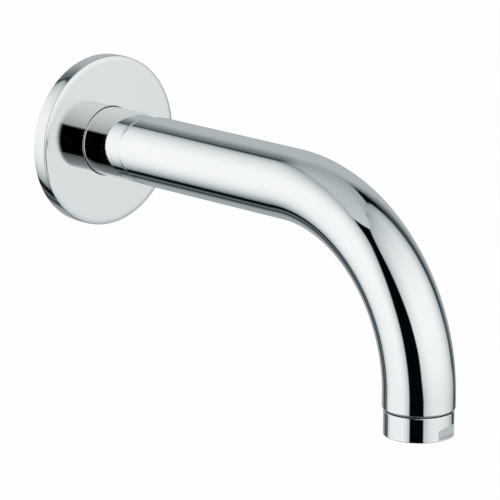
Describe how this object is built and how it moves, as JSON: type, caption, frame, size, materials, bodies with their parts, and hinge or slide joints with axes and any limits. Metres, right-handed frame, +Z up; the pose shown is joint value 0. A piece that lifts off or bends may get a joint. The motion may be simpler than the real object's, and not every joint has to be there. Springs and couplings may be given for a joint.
{
  "type": "wall spout",
  "caption": "Wall-mounted water spout: a round tube bent down through a right angle, with a flat round wall flange, a threaded wall connection and a screw-in aerator.",
  "frame": {"origin": "where the tube's axis meets the finished wall, at the root of the wall thread", "axes": "+Y into the wall along the wall thread, the spout reaches out along -Y, +Z up"},
  "size_m": [0.0694, 0.21, 0.1198],
  "materials": {
    "chrome": "polished chrome on brass",
    "brass": "turned, bare",
    "steel": "bare stainless",
    "rubber": "moulded, matt",
    "foam": "closed-cell foam",
    "plastic": "moulded, satin"
  },
  "bodies": {
    "root": {"spout_tube": "chrome", "wall_flange": "chrome", "aerator_housing": "chrome", "connection_nipple": "brass", "inlet_bush": "brass", "outlet_bush": "brass", "grub_screw": "steel", "nipple_o_ring_1": "rubber", "nipple_o_ring_2": "rubber", "flange_o_ring": "rubber", "aerator_gasket": "rubber", "wall_seal": "foam", "strainer_dome": "plastic", "jet_divider": "plastic", "jet_regulator": "plastic"}
  },
  "joints": []
}
